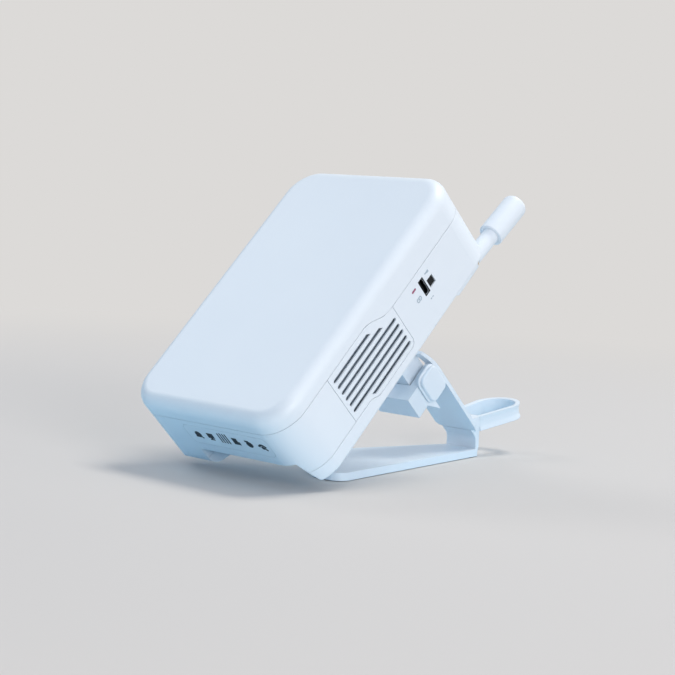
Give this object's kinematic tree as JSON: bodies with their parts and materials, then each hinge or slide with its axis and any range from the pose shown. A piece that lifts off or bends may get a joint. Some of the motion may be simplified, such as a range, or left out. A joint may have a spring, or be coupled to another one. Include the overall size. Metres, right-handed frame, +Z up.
{
  "type": "wireless range extender",
  "caption": "Slab-shaped wireless range extender with slotted side vents and a stub antenna, held by a tilting hinge on a tapered desk stand with a cable loop.",
  "frame": {"origin": "on the table, under the sole of the base plate, straight below the tilt axis", "axes": "+X to the housing's right as seen by someone facing its front, along the tilt axis; +Y to the back; +Z up"},
  "size_m": [0.108, 0.2405, 0.1514],
  "materials": {
    "housing_white": "satin moulded plastic, cool white",
    "stand_white": "satin moulded plastic, cool white",
    "dust_gauze": "fine grey gauze",
    "indicator_inlay": "smooth printed inlay",
    "clear_guide": "clear moulding",
    "lamp_black": "moulded lamp bodies",
    "circuit_board": "solder mask over laminate",
    "chip_black": "moulded epoxy",
    "thermal_rubber": "soft pad",
    "sink_aluminium": "extruded",
    "tinned_steel": "tinned sheet",
    "port_steel": "dark plated shell",
    "status_lens": "red lens",
    "button_black": "moulded cap",
    "contact_brass": "turned",
    "lead_rubber": "coaxial jacket",
    "screw_steel": "zinc plated",
    "washer_nylon": "moulded nylon",
    "sole_rubber": "ribbed non-slip sole"
  },
  "bodies": {
    "stand": {"stand_base": "stand_white", "base_pad": "sole_rubber", "stand_arm": "stand_white", "cable_loop": "stand_white", "friction_washers": "washer_nylon", "hinge_nut": "screw_steel"},
    "housing": {"front_cover": "housing_white", "lower_band": "housing_white", "rear_shell": "housing_white", "right_vent_panel": "housing_white", "left_vent_panel": "housing_white", "right_vent_gauze": "dust_gauze", "left_vent_gauze": "dust_gauze", "indicator_panel": "indicator_inlay", "light_guide": "clear_guide", "indicator_leds": "lamp_black", "main_board": "circuit_board", "processor": "chip_black", "thermal_pad": "thermal_rubber", "heat_sink": "sink_aluminium", "shield_cans": "tinned_steel", "port_board": "circuit_board", "usb_port": "port_steel", "button_switch": "chip_black", "status_light": "status_lens", "antenna_socket": "contact_brass", "antenna_nut": "contact_brass", "antenna_lead": "lead_rubber", "housing_screws": "screw_steel", "hinge_bracket": "stand_white", "bracket_screws": "screw_steel"},
    "knob": {"clamp_knob": "stand_white", "hinge_bolt": "screw_steel"},
    "antenna": {"antenna_neck": "housing_white", "antenna_sleeve": "housing_white"},
    "button": {"mode_button": "button_black"}
  },
  "joints": [
    {"name": "tilt_hinge", "type": "hinge", "parent": "stand", "child": "housing", "pos_m": [0, 0, 0.04357], "axis": [-1, 0, 0], "range_deg": [0, 45]},
    {"name": "knob_turn", "type": "hinge", "parent": "stand", "child": "knob", "pos_m": [0, 0, 0.04357], "axis": [1, 0, 0], "continuous": true},
    {"name": "antenna_swivel", "type": "hinge", "parent": "housing", "child": "antenna", "pos_m": [0.04, -0.00147, 0.11144], "axis": [0, 0.6947, 0.7193], "range_deg": [-170, 170]},
    {"name": "button_press", "type": "slide", "parent": "housing", "child": "button", "axis": [-1, 0, 0], "range_m": [0, 0.0006], "stiffness_N_per_m": 800}
  ]
}
